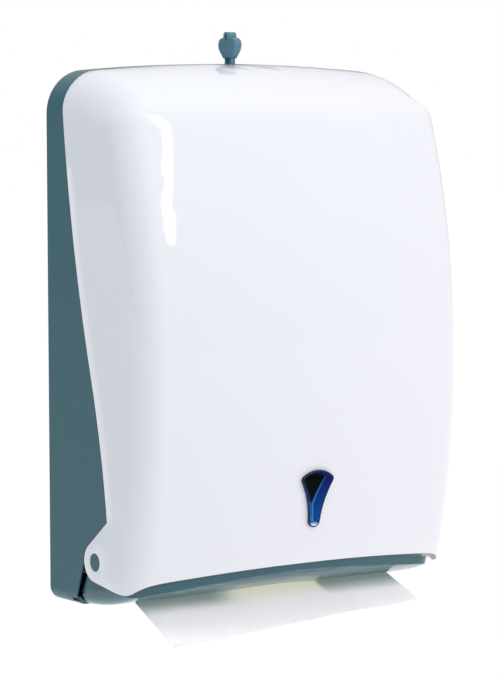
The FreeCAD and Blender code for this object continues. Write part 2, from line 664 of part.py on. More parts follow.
def towel_sheet():
    """Towel hanging out of the slot, further down at its left end than at its right."""
    wires = []
    for x, end in ((-TOWEL_WIDTH / 2, SHEET_END_LEFT), (TOWEL_WIDTH / 2, SHEET_END_RIGHT)):
        top, bend = side(SHEET_Y, stack_foot() - SHEET_GAP), side(SHEET_Y, SHEET_BEND_Z)
        tip = side(*end)
        down, out = side(0, -1), (tip - bend).normalize()
        thick_top = side(SHEET_THICK, 0)
        across_out = V(1, 0, 0).cross(out).normalize() * SHEET_THICK
        if across_out.z > 0:
            across_out = across_out * -1
        corner = bend + thick_top
        near = [(top.y, top.z, 0), (bend.y, bend.z, SHEET_BEND_R), (tip.y, tip.z, 0)]
        far_tip = tip + across_out
        sharp = meet(top + thick_top, down, far_tip, out)
        outline = near + [(far_tip.y, far_tip.z, 0), (sharp.y, sharp.z, SHEET_BEND_R + SHEET_THICK),
                          (corner.y, top.z, 0)]
        wires.append(Part.Wire(rounded_edges(outline, lambda y, z, x=x: V(x, y, z))))
    return Part.makeLoft(wires, True, True)


def meet(a, along_a, b, along_b):
    """Point where two lines in the side plane cross."""
    det = along_a.y * -along_b.z + along_b.y * along_a.z
    way = b - a
    t = (way.y * -along_b.z + along_b.y * way.z) / det
    return a + along_a * t


# ---------------------------------------------------------------- hinge
def hinge_pin(s):
    """Stepped pin: the head turns in the cover's ear, the shank sits in the cheek."""
    face = cheek_face()
    head = rod(PIN_HEAD_R, V(s * face, *PIN), V(s * (half - face), 0, 0))
    head = head.makeChamfer(0.4, [e for e in head.Edges if len(e.Vertexes) == 1
                                  and abs(abs(e.CenterOfMass.x) - half) < 0.01])
    shank_end = pin_clip_x() - CLIP_WALL - 1.2
    shank = rod(PIN_SHANK_R, V(s * shank_end, *PIN), V(s * (face - shank_end), 0, 0))
    groove = rod(PIN_SHANK_R + 1, V(s * (pin_clip_x() - CLIP_WALL - 0.1), *PIN), V(s * (CLIP_WALL + 0.2), 0, 0))
    groove = groove.cut(rod(PIN_GROOVE_R, V(0, *PIN), V(s * FAR, 0, 0)))
    return head.fuse(shank).cut(groove)


def pin_clip_x():
    """Outer face of the clip, against the cheek's boss."""
    return cheek_face() - THROAT_WALL - CHEEK_BOSS_DEPTH - 0.1


def pin_clips():
    clips = []
    for s in (-1, 1):
        disc = rod(CLIP_R, V(s * (pin_clip_x() - CLIP_WALL), *PIN), V(s * CLIP_WALL, 0, 0))
        bore = rod(PIN_GROOVE_R + SCREW_FIT, V(0, *PIN), V(s * FAR, 0, 0))
        mouth = box(0, s * FAR, PIN[0] - PIN_GROOVE_R * 0.8, PIN[0] + PIN_GROOVE_R * 0.8, PIN[1], PIN[1] - 10)
        clips.append(disc.cut(bore.fuse(mouth)))
    return Part.makeCompound(clips)


# ---------------------------------------------------------------- lock
def lock_axis(z):
    return V(0, LOCK_Y, z)


def lock_housing():
    flange = plan_prism([(-FLANGE_X, FLANGE_REAR, 5), (-FLANGE_X, LOCK_Y, 6), (-BARREL_R, FLANGE_FRONT, 5),
                         (BARREL_R, FLANGE_FRONT, 5), (FLANGE_X, LOCK_Y, 6), (FLANGE_X, FLANGE_REAR, 5)],
                        FLANGE_TOP - FLANGE_THICK, FLANGE_TOP)
    barrel = rod(BARREL_R, lock_axis(BARREL_FOOT), V(0, 0, FLANGE_TOP - BARREL_FOOT))
    bore = rod(PLUG_R + PLUG_FIT, lock_axis(BARREL_FOOT - 1), V(0, 0, FAR))
    body = flange.fuse(barrel).cut(bore)
    for x in (-LOCK_SCREW_X, LOCK_SCREW_X):
        body = body.cut(hole(V(x, LOCK_SCREW_Y, FLANGE_TOP + 1), V(0, 0, -1), FLANGE_THICK + 2))
    return body.removeSplitter()


def plug_top():
    return FLANGE_TOP + PLUG_FIT + PLUG_HEAD


def lock_plug():
    barrel = rod(PLUG_R, lock_axis(PLUG_FOOT), V(0, 0, plug_top() - PLUG_FOOT))
    head = rod(PLUG_HEAD_R, lock_axis(plug_top() - PLUG_HEAD), V(0, 0, PLUG_HEAD))
    body = barrel.fuse(head).removeSplitter()
    body = body.makeChamfer(0.4, [e for e in body.Edges if abs(e.BoundBox.ZMin - plug_top()) < 0.01
                                  and e.BoundBox.ZLength < 0.01])
    for y in prong_centres():
        body = body.cut(box(-PRONG_X / 2 - KEYWAY_FIT, PRONG_X / 2 + KEYWAY_FIT, y - PRONG_Y / 2 - KEYWAY_FIT,
                            y + PRONG_Y / 2 + KEYWAY_FIT, plug_top() - KEY_DEPTH - 1, FAR + HEIGHT))
    return body.cut(hole(lock_axis(PLUG_FOOT - 1), V(0, 0, 1), 9))


def prong_centres():
    offset = (PRONG_SPACE + PRONG_Y) / 2
    return LOCK_Y - offset, LOCK_Y + offset


def lock_cam():
    """Hook that turns behind the cover's post; its opening trails so that the post can pass."""
    low = PLUG_FOOT - CAM_THICK - 0.1
    hub = rod(CAM_HUB_R, lock_axis(low), V(0, 0, CAM_THICK))
    ring = rod(HOOK_R[1], lock_axis(low), V(0, 0, CAM_THICK))
    ring = ring.cut(rod(HOOK_R[0], lock_axis(low - 1), V(0, 0, CAM_THICK + 2)))
    first = -HOOK_SWEEP / 2
    far = HOOK_R[1] * 2
    wedge = Part.Face(Part.makePolygon([lock_axis(low - 1)] + [
        lock_axis(low - 1) + V(far * math.cos(math.radians(a)), far * math.sin(math.radians(a)), 0)
        for a in (first, 0, -first)] + [lock_axis(low - 1)])).extrude(V(0, 0, CAM_THICK + 2))
    hook = ring.common(wedge)
    arm = box(0, HOOK_R[1] - 1, -2.6, 2.6, 0, CAM_THICK)
    arm.rotate(V(0, 0, 0), V(0, 0, 1), HOOK_SWEEP / 2 - 6)
    arm.translate(lock_axis(low))
    body = hub.fuse([hook, arm])
    return body.cut(hole(lock_axis(low - 1), V(0, 0, 1), CAM_THICK + 2)).removeSplitter()


def cam_washer():
    top = PLUG_FOOT - CAM_THICK - 0.1
    ring = rod(SCREW_HEAD_R + 1.2, lock_axis(top), V(0, 0, -WASHER_THICK))
    return ring.cut(hole(lock_axis(top + 1), V(0, 0, -1), WASHER_THICK + 2))


def cam_screw():
    seat = lock_axis(PLUG_FOOT - CAM_THICK - 0.1 - WASHER_THICK)
    return screw(seat, V(0, 0, 1), CAM_THICK + WASHER_THICK + 6.5)


# ---------------------------------------------------------------- key
def key():
    prongs = [box(-PRONG_X / 2, PRONG_X / 2, y - PRONG_Y / 2, y + PRONG_Y / 2, plug_top() - KEY_DEPTH, BOW_FOOT + 2)
              for y in prong_centres()]
    shoulder = 5.0
    waist = PRONG_Y + PRONG_SPACE / 2 + 0.6
    corners = [(LOCK_Y - waist, BOW_FOOT, 1.5), (LOCK_Y + waist, BOW_FOOT, 1.5),
               (LOCK_Y + BOW_HALF - 1.6, BOW_FOOT + 6.4, 9), (LOCK_Y + BOW_HALF, BOW_TOP - 1, shoulder),
               (LOCK_Y, BOW_TOP + 0.4, 20), (LOCK_Y - BOW_HALF, BOW_TOP - 1, shoulder),
               (LOCK_Y - BOW_HALF + 1.6, BOW_FOOT + 6.4, 9)]
    bow = side_prism(corners, -BOW_THICK / 2, BOW_THICK / 2)
    bow = bow.makeChamfer(0.6, [e for e in bow.Edges if e.BoundBox.XLength < 0.01])
    tab = side_prism([(LOCK_Y - TAB_HALF, BOW_TOP - 4, 0), (LOCK_Y + TAB_HALF, BOW_TOP - 4, 0),
                      (LOCK_Y + TAB_HALF, TAB_TOP, 2.6), (LOCK_Y - TAB_HALF, TAB_TOP, 2.6)],
                     -BOW_THICK / 2 - 0.3, BOW_THICK / 2 + 0.3)
    ring_hole = side_prism([(LOCK_Y - 1, TAB_TOP - 6.8, 0.95), (LOCK_Y + 1, TAB_TOP - 6.8, 0.95),
                            (LOCK_Y + 1, TAB_TOP - 1.8, 0.95), (LOCK_Y - 1, TAB_TOP - 1.8, 0.95)], -10, 10)
    return bow.fuse(prongs + [tab]).cut(ring_hole).removeSplitter()


# ---------------------------------------------------------------- window
def window_frame():
    """Centre of the window on the cover's front, and the front's lean there in degrees."""
    centre, radius = front_profile(0)
    rise = WINDOW_Z - centre.z
    y = centre.y - math.sqrt(radius ** 2 - rise ** 2)
    return side(y, WINDOW_Z), -math.degrees(math.asin(rise / radius))


def window_edges(offset):
    """Fan-shaped outline round the origin, seen from the front, grown by offset."""
    high = WINDOW_HEIGHT / 2
    top_half = WINDOW_TOP_HALF
    tip = V(0, 0, -high + WINDOW_TIP_R)
    left, right = V(-top_half, 0, high - WINDOW_CROWN), V(top_half, 0, high - WINDOW_CROWN)
    crown = V(0, 0, high)
    waist = V(WINDOW_WAIST[0], 0, WINDOW_WAIST[1] - high)
    foot = V(WINDOW_TIP_R, 0, tip.z)
    flip = lambda p: V(-p.x, p.y, p.z)
    wire = Part.Wire([Part.Arc(left, crown, right).toShape(), Part.Arc(right, waist, foot).toShape(),
                      Part.Arc(foot, V(0, 0, -high), flip(foot)).toShape(),
                      Part.Arc(flip(foot), flip(waist), left).toShape()])
    if offset:
        wire = wire.makeOffset2D(offset, 0)
    return wire


def to_cover(shape):
    """Moves a shape drawn upright round the origin onto the cover's front."""
    at, lean = window_frame()
    shape.rotate(V(0, 0, 0), V(1, 0, 0), lean)
    shape.translate(at)
    return shape


def window_prism(offset, inner, outer):
    """Prism of the window's outline from inner (negative) to outer, measured out of the cover's face."""
    face = Part.Face(window_edges(offset))
    face.translate(V(0, -inner, 0))
    return to_cover(face.extrude(V(0, -(outer - inner), 0)))


def level_window():
    """Lens with a bevelled front: a flange on the cover, a plug through it."""
    flange = Part.Face(window_edges(0)).extrude(V(0, -WINDOW_PROUD, 0))
    outer = [e for e in flange.Edges if abs(e.BoundBox.YMin + WINDOW_PROUD) < 0.01 and e.BoundBox.YLength < 0.01]
    flange = flange.makeChamfer(WINDOW_BEVEL, outer)
    foot = Part.Face(window_edges(0)).extrude(V(0, WINDOW_SEAT, 0))
    body = to_cover(flange.fuse(foot)).cut(outer_body())
    plug = window_prism(-WINDOW_STEP, -WINDOW_DEPTH, LAP)
    return body.fuse(plug).removeSplitter()


def window_clip():
    """Spring frame round the plug, its front shaped to the cover's inside."""
    depth = COVER_WALL + CLIP_GAP
    ring = window_prism(WINDOW_CLIP_WIDTH, -depth - WINDOW_CLIP, 0).common(inset_body(depth))
    return ring.cut(window_prism(-WINDOW_STEP + SCREW_FIT, -WINDOW_DEPTH * 2, WINDOW_DEPTH))


# ---------------------------------------------------------------- fasteners
def throat_screws():
    return Part.makeCompound([screw(V(x, THROAT_SCREW_Y, TONGUE_Z + THROAT_WALL), V(0, 0, -1), 9)
                              for x in THROAT_SCREW_X])


def tray_screws():
    return Part.makeCompound([screw(V(x, TRAY_REAR - TRAY_WALL, TRAY_SCREW_Z), V(0, 1, 0), 6)
                              for x in (-TRAY_SCREW_X, TRAY_SCREW_X)])


def lock_screws():
    return Part.makeCompound([screw(V(x, LOCK_SCREW_Y, FLANGE_TOP - FLANGE_THICK), V(0, 0, 1), 5.5)
                              for x in (-LOCK_SCREW_X, LOCK_SCREW_X)])


def catch_screws():
    return Part.makeCompound([screw(V(x, catch_screw_y(), CATCH_Z), V(0, 0, 1), 7.5)
                              for x in (-CATCH_SCREW_X, CATCH_SCREW_X)])


PIECES = {
    "rear_casing": rear_casing, "front_cover": front_cover, "dispensing_throat": dispensing_throat,
    "towel_tray": towel_tray, "towel_stack": towel_stack, "towel_sheet": towel_sheet,
    "hinge_pin_left": lambda: hinge_pin(-1), "hinge_pin_right": lambda: hinge_pin(1), "pin_clips": pin_clips,
    "throat_screws": throat_screws, "tray_screws": tray_screws, "lock_housing": lock_housing,
    "lock_screws": lock_screws, "lock_plug": lock_plug, "lock_cam": lock_cam, "cam_washer": cam_washer,
    "cam_screw": cam_screw, "cover_catch": cover_catch, "catch_screws": catch_screws, "key": key,
    "level_window": level_window, "window_clip": window_clip,
}


def write(name, shape):
    placed = shape.copy()
    placed.translate(V(0, 0, -WALL_CENTRE))
    placed.exportStep(os.path.join("parts", name + ".step"))


os.makedirs("parts", exist_ok=True)
for name, make in PIECES.items():
    write(name, make())
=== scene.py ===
"""Studio picture of a wall-mounted dispenser for folded paper towels."""
import json
import math

import bmesh
import bpy
from mathutils import Matrix, Vector, noise


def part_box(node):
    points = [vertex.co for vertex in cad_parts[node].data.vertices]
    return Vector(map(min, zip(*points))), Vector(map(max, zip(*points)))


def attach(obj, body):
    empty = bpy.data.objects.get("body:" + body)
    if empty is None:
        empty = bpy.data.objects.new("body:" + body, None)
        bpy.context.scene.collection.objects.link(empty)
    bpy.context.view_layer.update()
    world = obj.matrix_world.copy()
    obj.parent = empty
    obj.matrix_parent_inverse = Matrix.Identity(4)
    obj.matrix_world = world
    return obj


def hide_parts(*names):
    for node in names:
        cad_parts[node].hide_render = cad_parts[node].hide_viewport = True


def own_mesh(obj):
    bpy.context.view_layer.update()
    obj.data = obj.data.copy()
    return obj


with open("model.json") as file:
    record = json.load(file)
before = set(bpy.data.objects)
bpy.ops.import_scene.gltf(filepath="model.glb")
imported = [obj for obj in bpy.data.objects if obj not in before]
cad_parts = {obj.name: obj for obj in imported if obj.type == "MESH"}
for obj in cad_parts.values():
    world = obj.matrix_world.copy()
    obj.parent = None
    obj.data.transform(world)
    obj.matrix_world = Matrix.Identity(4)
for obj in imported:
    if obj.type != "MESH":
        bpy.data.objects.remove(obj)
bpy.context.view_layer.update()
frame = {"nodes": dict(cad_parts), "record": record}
nodes = frame["nodes"]

# Lengths are in millimetres and heights are over the casing's foot, unless a line says metres.
MM = 0.001
WALL_CENTRE = 200.0          # height of the frame's origin


def height(z):
    """A height as Z of the frame, in metres."""
    return (z - WALL_CENTRE) * MM


def spot(x, y, z):
    """Point of the frame, in metres."""
    return Vector((x, y, z - WALL_CENTRE)) * MM


# ---------------------------------------------------------------- shader nodes
NOISE_SPAN = (0.3, 0.7)      # what a noise mostly stays within
EDGE_BLUR = 2.0              # height over which the look of a lower edge comes in
SOFT_SAMPLES, EVEN_SAMPLES = 6, 16
WHITE = (1.0, 1.0, 1.0)


def ramp(tree, value, old, new=(0.0, 1.0), kind="SMOOTHSTEP"):
    """Output that runs between the two numbers of new as value runs between those of old."""
    made = tree.nodes.new("ShaderNodeMapRange")
    made.interpolation_type = kind
    for key, number in zip(("From Min", "From Max", "To Min", "To Max"), (*old, *new)):
        made.inputs[key].default_value = number
    tree.links.new(value, made.inputs["Value"])
    return made.outputs["Result"]


def product(tree, first, second):
    made = tree.nodes.new("ShaderNodeMath")
    made.operation = "MULTIPLY"
    tree.links.new(first, made.inputs[0])
    tree.links.new(second, made.inputs[1])
    return made.outputs["Value"]


def blend(tree, factor, low, high):
    """Colour that runs from low to high, each a colour or an output, as factor goes from 0 to 1."""
    made = tree.nodes.new("ShaderNodeMix")
    made.data_type = "RGBA"
    for key, colour in (("A", low), ("B", high)):
        if isinstance(colour, tuple):
            made.inputs[key].default_value = (*colour, 1)
        else:
            tree.links.new(colour, made.inputs[key])
    tree.links.new(factor, made.inputs["Factor"])
    return made.outputs["Result"]


class Shader:
    """A material with one Principled shader and short calls for the nodes that feed it."""

    def __init__(self, name, **inputs):
        self.material = bpy.data.materials.new(name)
        self.material.use_nodes = True
        self.tree = self.material.node_tree
        self.principled = self.tree.nodes["Principled BSDF"]
        self.edge = None
        for key, value in inputs.items():
            self.principled.inputs[key.replace("_", " ")].default_value = value

    def node(self, kind, **settings):
        """New node, with each setting on its property or else on its socket of that name."""
        made = self.tree.nodes.new(kind)
        for key, value in settings.items():
            if hasattr(made, key):
                setattr(made, key, value)
            else:
                made.inputs[key.replace("_", " ")].default_value = value
        return made

    def link(self, source, target):
        self.tree.links.new(source, target)

    def coordinates(self, scale=(1, 1, 1)):
        """Place on the piece in metres, each axis times its scale."""
        place = self.node("ShaderNodeTexCoord")
        mapping = self.node("ShaderNodeMapping")
        mapping.inputs["Scale"].default_value = scale
        self.link(place.outputs["Object"], mapping.inputs["Vector"])
        return mapping.outputs["Vector"]

    def noise(self, scale, detail=3.0, vector=None):
        """Clouds or grain, about scale of them to the metre."""
        made = self.node("ShaderNodeTexNoise", Scale=scale, Detail=detail)
        self.link(vector or self.coordinates(), made.inputs["Vector"])
        return made.outputs["Fac"]

    def part_of(self, output, axis):
        """One axis of the piece's own place or normal."""
        place = self.node("ShaderNodeTexCoord")
        parts = self.node("ShaderNodeSeparateXYZ")
        self.link(place.outputs[output], parts.inputs["Vector"])
        return parts.outputs[axis]

    def along(self, axis, low, high):
        """Runs from 0 to 1 as the place on the piece goes from low to high along axis, in metres."""
        return ramp(self.tree, self.part_of("Object", axis), (low, high))

    def facing_down(self, tilt, top):
        """1 on the faces under top whose normal points down by more than tilt, else 0."""
        down = ramp(self.tree, self.part_of("Normal", "Z"), tilt)
        return product(self.tree, down, self.along("Z", top, top - EDGE_BLUR * MM))

    def blend(self, factor, low, high):
        return blend(self.tree, factor, low, high)

    def paint(self, factor, low, high):
        self.link(self.blend(factor, low, high), self.principled.inputs["Base Color"])

    def roughen(self, factor, low, high):
        """Roughness that runs between two values with a noise."""
        rough = ramp(self.tree, factor, NOISE_SPAN, (low, high), "LINEAR")
        self.link(rough, self.principled.inputs["Roughness"])

    def soften(self, radius):
        """Rounds the look of sharp moulded edges."""
        self.edge = self.node("ShaderNodeBevel", samples=SOFT_SAMPLES, Radius=radius * MM)
        self.link(self.edge.outputs["Normal"], self.principled.inputs["Normal"])

    def even_coat(self, radius):
        """Evens the coat's reflections over a radius, where facets would make them wobble."""
        even = self.node("ShaderNodeBevel", samples=EVEN_SAMPLES, Radius=radius * MM)
        self.link(even.outputs["Normal"], self.principled.inputs["Coat Normal"])

    def bump(self, relief, depth, strength=1.0):
        """Grain with depth in micrometres."""
        made = self.node("ShaderNodeBump", Distance=depth * MM * MM, Strength=strength)
        self.link(relief, made.inputs["Height"])
        if self.edge:
            self.link(self.edge.outputs["Normal"], made.inputs["Normal"])
        self.link(made.outputs["Normal"], self.principled.inputs["Normal"])


# ---------------------------------------------------------------- materials
COVER_TINTS = (0.81, 0.811, 0.868), (0.824, 0.825, 0.88)
COVER_CLOUDS, COVER_HAZE, COVER_RIPPLE = 9.0, 60.0, 170.0   # each noise, to the metre
COVER_ROUGH = (0.28, 0.36)
COVER_EVEN = 14.0            # radius over which the coat's reflections are evened
EDGE_SHADED = (0.015, 0.03, 0.036)
EDGE_TOP = height(55.0)      # the cover's lower edge lies under this height and is in the lip's shade
EDGE_TILT = (-0.3, -0.55)    # Z of a normal where the shade starts, and where it is full
MOULDED_EDGE = 0.5           # radius of a plastic piece's edges


def gloss_white():
    """The cover's plastic, with a clear coat and its lower edge dark in the lip's shade."""
    shader = Shader("gloss_white", Coat_Weight=1.0, Coat_Roughness=0.03, Specular_IOR_Level=0.1)
    white = shader.blend(shader.noise(COVER_CLOUDS), *COVER_TINTS)
    shader.paint(shader.facing_down(EDGE_TILT, EDGE_TOP), white, EDGE_SHADED)
    shader.roughen(shader.noise(COVER_HAZE), *COVER_ROUGH)
    shader.soften(MOULDED_EDGE)
    shader.bump(shader.noise(COVER_RIPPLE, detail=1.0), depth=4.0, strength=0.5)
    shader.even_coat(COVER_EVEN)
    return shader.material


CASING_TINTS = (0.026, 0.108, 0.138), (0.032, 0.122, 0.155)
KEY_TINTS = (0.075, 0.185, 0.25), (0.098, 0.23, 0.305)
PLASTIC_CLOUDS, PLASTIC_HAZE, PLASTIC_GRAIN = 25.0, 220.0, 2600.0
PLASTIC_UNEVEN = 0.1         # share by which the roughness goes up and down


def grey_plastic(name, tints, roughness, grain):
    """Satin moulded plastic."""
    shader = Shader(name)
    shader.paint(shader.noise(PLASTIC_CLOUDS), *tints)
    spread = roughness * PLASTIC_UNEVEN
    shader.roughen(shader.noise(PLASTIC_HAZE), roughness - spread, roughness + spread)
    shader.soften(MOULDED_EDGE)
    shader.bump(shader.noise(PLASTIC_GRAIN, detail=2.0), depth=40.0, strength=grain)
    return shader.material


TRAY_TINTS = (0.53, 0.53, 0.62), (0.57, 0.57, 0.66)
TRAY_CLOUDS, TRAY_GRAIN = 30.0, 1800.0
TRAY_EDGE = 0.4


def tray_plastic():
    """Pale satin plastic of the tray and the cover's catch."""
    shader = Shader("tray_plastic", Roughness=0.35)
    shader.paint(shader.noise(TRAY_CLOUDS), *TRAY_TINTS)
    shader.soften(TRAY_EDGE)
    shader.bump(shader.noise(TRAY_GRAIN, detail=2.0), depth=30.0, strength=0.3)
    return shader.material


ZINC_TINTS = (0.55, 0.56, 0.58), (0.72, 0.72, 0.72)
ZINC_SPANGLE, ZINC_HAZE = 400.0, 900.0
ZINC_ROUGH = (0.22, 0.42)
ZINC_EDGE = 0.2


def zinc():
    """Zinc plate of the steel pieces."""
    shader = Shader("zinc", Metallic=1.0)
    shader.paint(shader.noise(ZINC_SPANGLE), *ZINC_TINTS)
    shader.roughen(shader.noise(ZINC_HAZE), *ZINC_ROUGH)
    shader.soften(ZINC_EDGE)
    return shader.material


PAPER_TINTS = (0.885, 0.87, 0.885), (0.945, 0.93, 0.94)
# Painted shade of the slot on the hanging towel: bluish grey under the lip, and lighter and yellowish where
# light comes in at the finger notch.
UNDER_LIP_SHADE = (0.36, 0.43, 0.43), (0.62, 0.68, 0.64)
IN_NOTCH_SHADE = (0.84, 0.84, 0.76), (0.92, 0.92, 0.85)
PAPER_CLOUDS, PAPER_CREPE = 110.0, 1100.0
CREPE_STRETCH = (0.4, 1, 1)  # the crepe's wrinkles run from left to right
PAPER_GLOW = 0.5             # share of the light that goes through a face of the paper
EMBOSS_PITCH = 2.1           # of the stripes pressed into the towels
WAVE_FACTOR = 20             # a Wave texture's own factor on its scale
SLOT_SHADE = height(-4.5), height(3.5)   # where the slot's shade on the towel starts, and where it is full
NOTCH_LEFT, NOTCH_RIGHT = (-0.055, -0.022), (0.044, 0.049)   # X in metres of the ends of the part where the painted shade is lighter, as light comes in at the finger notch


def tissue(name, shade=None):
    """Crepe paper that lets light through; with shade, painted darker and greenish where it comes out of the
    slot, as painted shade of the slot and the outlet.
    """
    shader = Shader(name, Roughness=0.92, Sheen_Weight=0.1)
    colour = shader.blend(shader.noise(PAPER_CLOUDS), *PAPER_TINTS)
    if shade:
        # The pressed stripes run light and dark in the painted shade, as painted shading of their relief.
        stripes = shader.node("ShaderNodeTexWave", Scale=math.tau / WAVE_FACTOR / (EMBOSS_PITCH * MM))
        shader.link(shader.coordinates(), stripes.inputs["Vector"])
        under_lip = shader.blend(stripes.outputs["Fac"], *UNDER_LIP_SHADE)
        in_notch = shader.blend(stripes.outputs["Fac"], *IN_NOTCH_SHADE)
        right = shader.blend(shader.along("X", *NOTCH_RIGHT), in_notch, under_lip)
        painted_shade = shader.blend(shader.along("X", *NOTCH_LEFT), under_lip, right)
        colour = shader.blend(shader.along("Z", *shade), colour, painted_shade)
    crepe = shader.noise(PAPER_CREPE, detail=5.0, vector=shader.coordinates(CREPE_STRETCH))
    shader.bump(crepe, depth=180.0, strength=0.5)
    through = shader.node("ShaderNodeBsdfTranslucent")
    joined = shader.node("ShaderNodeMixShader", Fac=PAPER_GLOW)
    output = shader.tree.nodes["Material Output"]
    shader.link(colour, shader.principled.inputs["Base Color"])
    shader.link(colour, through.inputs["Color"])
    shader.link(shader.principled.outputs["BSDF"], joined.inputs[1])
    shader.link(through.outputs["BSDF"], joined.inputs[2])
    shader.link(joined.outputs["Shader"], output.inputs["Surface"])
    return shader.material


WINDOW_SPAN = height(56.0), height(98.0)     # where the colours start at the tip and end at the crown
GLINT_SPAN = height(58.3), height(60.6)
WINDOW_HAZE = 40.0
WINDOW_ROUGH = (0.035, 0.065)


def window_plastic(name, low, high, gloss, span=WINDOW_SPAN):
    """Tinted clear plastic whose colour runs from its low one at the tip to its high one at the crown, as
    painted light and shade.
    """
    shader = Shader(name, Specular_IOR_Level=gloss)
    shader.paint(shader.along("Z", *span), low, high)
    shader.roughen(shader.noise(WINDOW_HAZE), *WINDOW_ROUGH)
    return shader.material


FINISH = {
    "casing": grey_plastic("casing_plastic", CASING_TINTS, roughness=0.4, grain=0.35),
    "outlet": grey_plastic("outlet_plastic", CASING_TINTS, roughness=0.11, grain=0.01),
    "key": grey_plastic("key_plastic", KEY_TINTS, roughness=0.36, grain=0.5),
    "cover": gloss_white(),
    "tray": tray_plastic(),
    "towel": tissue("tissue"),
    "pulled_towel": tissue("pulled_tissue", SLOT_SHADE),
    "steel": zinc(),
    # The lens's colours are painted light and shade: lighter towards the tip, which faces up into the light, and
    # darker at the crown.
    "window": window_plastic("window_rim", (0.002, 0.012, 0.06), (0.004, 0.006, 0.045), 0.3),
    "window_bevel": window_plastic("window_bevel", (0.002, 0.09, 0.36), (0.012, 0.02, 0.2), 0.1),
    # Painted highlight along the foot of the dish's slope.
    "window_highlight_line": window_plastic("window_highlight_line", (0.05, 0.34, 0.78), (0.01, 0.14, 0.45), 0.4),
    # Painted near black for the shade inside the cover, seen through the lens's middle.
    "window_shaded_core": window_plastic("window_shaded_core", (0.001, 0.006, 0.006), (0.001, 0.003, 0.002), 0.03),
    "window_glint": window_plastic("window_glint", (0.62, 0.8, 0.95), (0.01, 0.12, 0.42), 0.4, GLINT_SPAN),
}


def dress():
    """Gives each CAD node the finish of its slot, and the outlet a glossier one than the casing's."""
    for part in frame["record"]["subparts"]:
        slots = nodes[part["node"]].data.materials
        slots.clear()
        slots.append(FINISH["outlet" if part["node"] == "dispensing_throat" else part["material_slot"]])


# ---------------------------------------------------------------- mesh helpers
def piece(name, body, slot, mesh, *finishes):
    """Object with the mesh's faces, riding on a CAD body."""
    made = bpy.data.objects.new(name, mesh)
    bpy.context.scene.collection.objects.link(made)
    for finish in finishes or (slot,):
        mesh.materials.append(FINISH[finish])
    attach(made, body)
    return made


def finished(name, bm, smooth=40.0):
    """Mesh of a bmesh, its faces outward and its edges smooth up to an angle in degrees."""
    bmesh.ops.recalc_face_normals(bm, faces=bm.faces)
    for face in bm.faces:
        face.smooth = True
    for edge in bm.edges:
        if len(edge.link_faces) == 2 and edge.calc_face_angle() > math.radians(smooth):
            edge.smooth = False
    mesh = bpy.data.meshes.new(name)
    bm.to_mesh(mesh)
    bm.free()
    return mesh


def strip_faces(bm, rows, closed):
    """Quads between rows of vertices of equal length, and round each row when closed."""
    faces = []
    for near, far in zip(rows, rows[1:]):
        count = len(near)
        for i in range(count if closed else count - 1):
            j = (i + 1) % count
            faces.append(bm.faces.new((near[i], near[j], far[j], far[i])))
    return faces


def border(rows):
    """The grid's outermost vertices, once round."""
    return rows[0] + [row[-1] for row in rows[1:]] + rows[-1][-2::-1] + [row[0] for row in rows[-2:0:-1]]


def thin_sheet(bm, rows, thickness):
    """Closed thin solid on a grid of points, grown to one side by thickness."""
    front = [[bm.verts.new(p) for p in row] for row in rows]
    strip_faces(bm, front, False)
    bm.normal_update()
    back = [[bm.verts.new(v.co - v.normal * thickness) for v in row] for row in front]
    strip_faces(bm, back, False)
    strip_faces(bm, [border(front), border(back)], True)


# ---------------------------------------------------------------- hanging towel
TOWEL_WIDTH = 228.8
TOWEL_THICK = 0.3
SHEET_Y = -68.7              # of its upright part
SHEET_TOP = 26.1
SHEET_BEND_Z = 5.0           # height at which it bends outwards
SHEET_BEND_R = 5.0
SHEET_TIP = ((-121.6, -21.0), (-109.6, -10.6))   # Y and height at the left and the right end
UPPER_STEPS, BEND_STEPS, FREE_STEPS = 10, 8, 44  # points down the sheet before, in and after its bend
STRIPE_STEPS = 3             # points across one pressed stripe
EMBOSS_DEEP = 0.09
EMBOSS_ROWS = 40             # rows from the top that are pressed in full
EMBOSS_FAINT = 0.35          # share of the depth in the rows below
EMBOSS_LIFT = 0.5            # share of it that goes upwards where the sheet lies out
SWAY = 0.78                  # height of the free end's waves
SWAY_WIDE, SWAY_ROWS, SWAY_SEED = 46, 24, 1.7    # their size across and down the rows, and their noise's seed
CURL = 0.9                   # how far the free end arches up in its middle


def sheet_line(share):
    """Points down the hanging towel in the side plane, share of the way from left to right."""
    left, right = (Vector(p) for p in SHEET_TIP)
    tip = left.lerp(right, share)
    top, bend = Vector((SHEET_Y, SHEET_TOP)), Vector((SHEET_Y, SHEET_BEND_Z))
    out = (tip - bend).normalized()
    turn = math.acos(out.dot(Vector((0, -1))))
    reach = SHEET_BEND_R * math.tan(turn / 2)
    first, last = bend + Vector((0, reach)), bend + out * reach
    centre = first + Vector((-SHEET_BEND_R, 0))
    points = [top.lerp(first, i / UPPER_STEPS) for i in range(UPPER_STEPS)]
    for i in range(BEND_STEPS + 1):
        a = turn * i / BEND_STEPS
        points.append(centre + Vector((math.cos(a), -math.sin(a))) * SHEET_BEND_R)
    points += [last.lerp(tip, i / FREE_STEPS) for i in range(1, FREE_STEPS + 1)]
    return points


